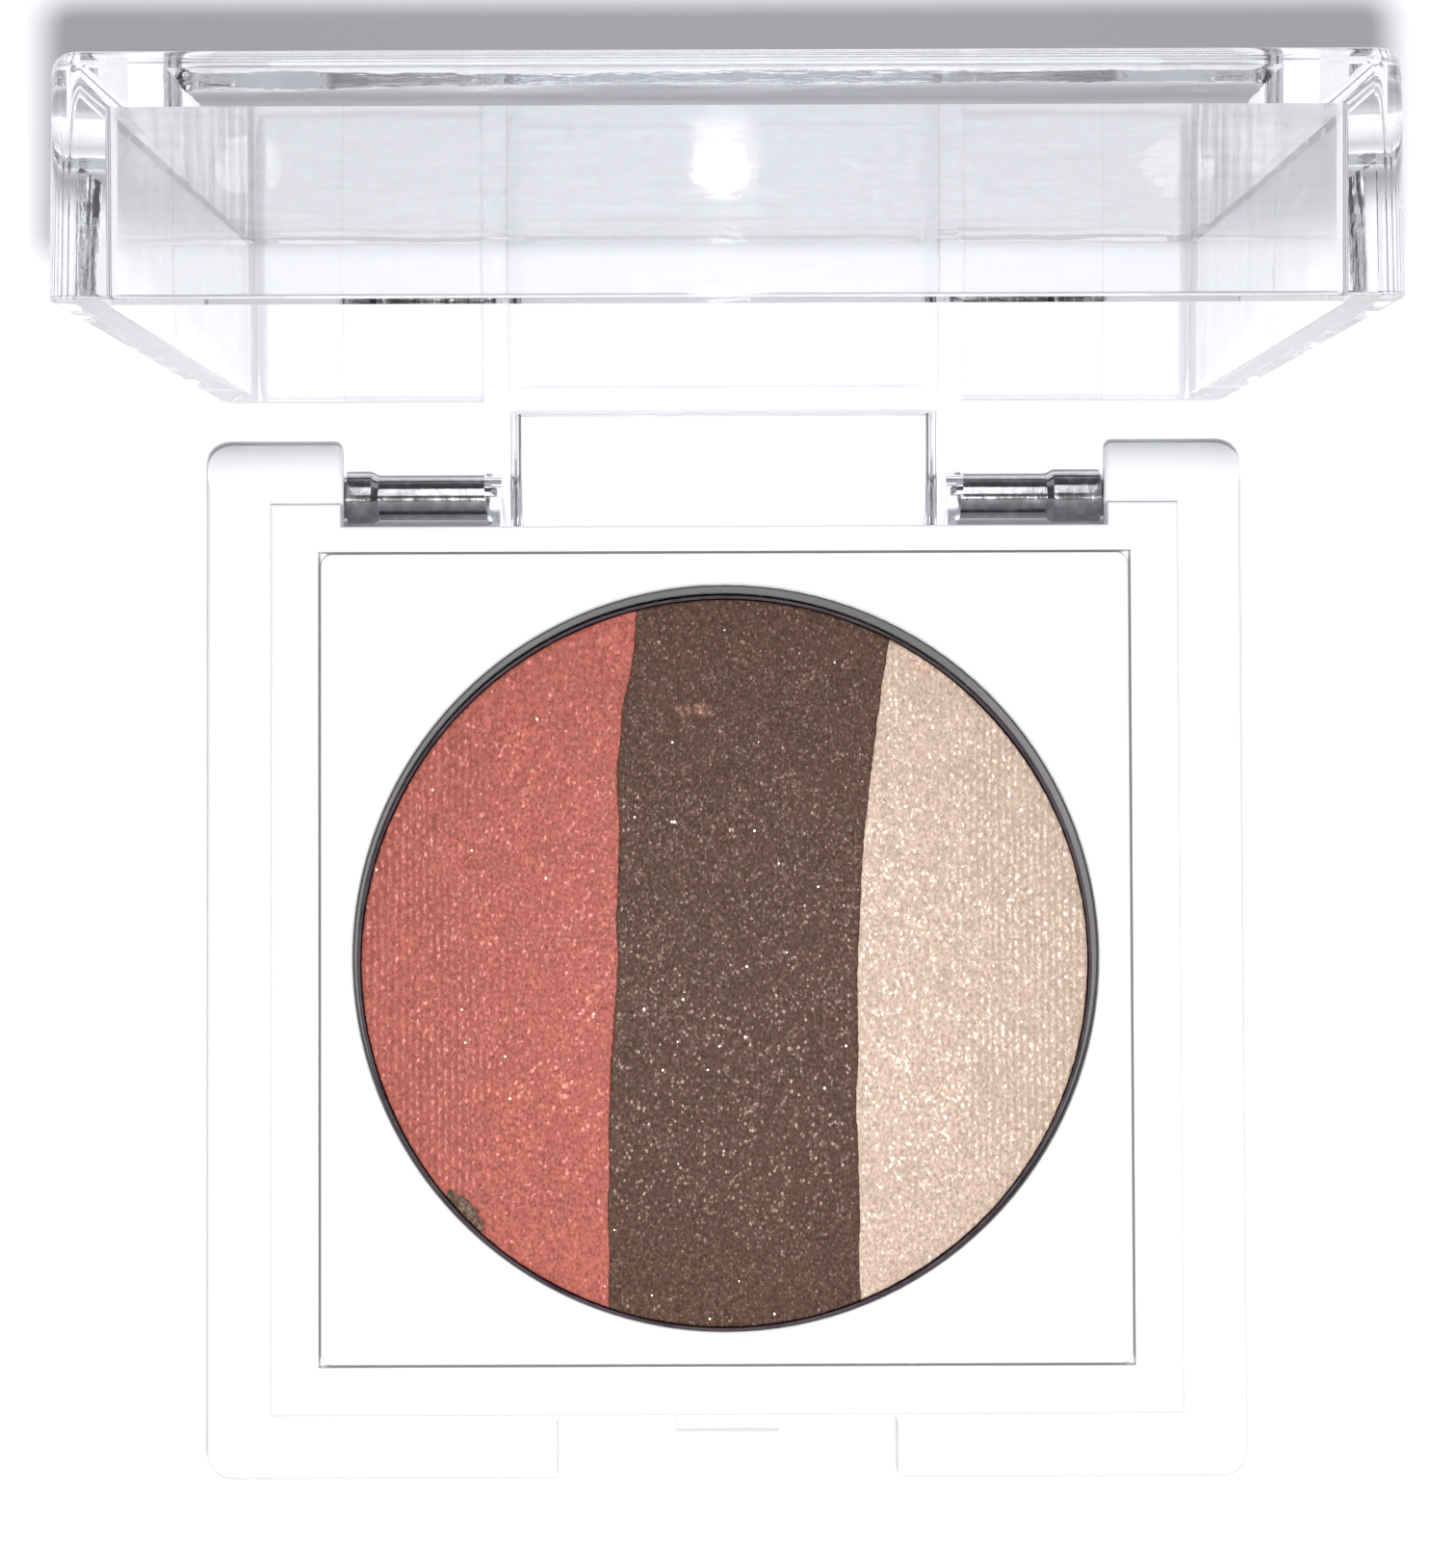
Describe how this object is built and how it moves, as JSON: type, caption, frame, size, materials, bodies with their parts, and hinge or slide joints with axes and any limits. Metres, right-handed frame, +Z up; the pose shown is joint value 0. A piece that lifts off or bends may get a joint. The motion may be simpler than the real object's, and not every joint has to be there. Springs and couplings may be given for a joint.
{
  "type": "eyeshadow palette",
  "caption": "Square white compact with a thick clear hinged lid, a round metal pan of striped pressed powders in an inset plate, steel hinge pins and a finger notch.",
  "frame": {"origin": "centre of the underside of the base, on the surface it stands on", "axes": "+X to the right of a user facing the powders, +Y to the back (hinge side), +Z up"},
  "size_m": [0.062, 0.0764, 0.0639],
  "materials": {
    "white_plastic": "satin white moulded plastic",
    "clear_plastic": "clear polished plastic",
    "pan_aluminium": "pressed aluminium, dulled by powder dust",
    "adhesive": "matt foam adhesive",
    "coral_powder": "pressed powder with fine pink shimmer",
    "brown_powder": "pressed powder with fine silver glitter",
    "champagne_powder": "pressed powder with strong metallic shimmer",
    "pin_steel": "bright turned steel"
  },
  "bodies": {
    "base": {"base_shell": "white_plastic", "bottom_cover": "white_plastic", "insert_plate": "white_plastic", "pan": "pan_aluminium", "pan_adhesive": "adhesive", "powder_coral": "coral_powder", "powder_brown": "brown_powder", "powder_champagne": "champagne_powder", "hinge_pin_left": "pin_steel", "hinge_pin_right": "pin_steel"},
    "lid": {"lid_shell": "clear_plastic", "friction_sleeve_left": "pin_steel", "friction_sleeve_right": "pin_steel"}
  },
  "joints": [
    {"name": "lid_hinge", "type": "hinge", "parent": "base", "child": "lid", "pos_m": [0, 0.0281, 0.0042], "axis": [-1, 0, 0], "range_deg": [-86.8, 10]}
  ]
}
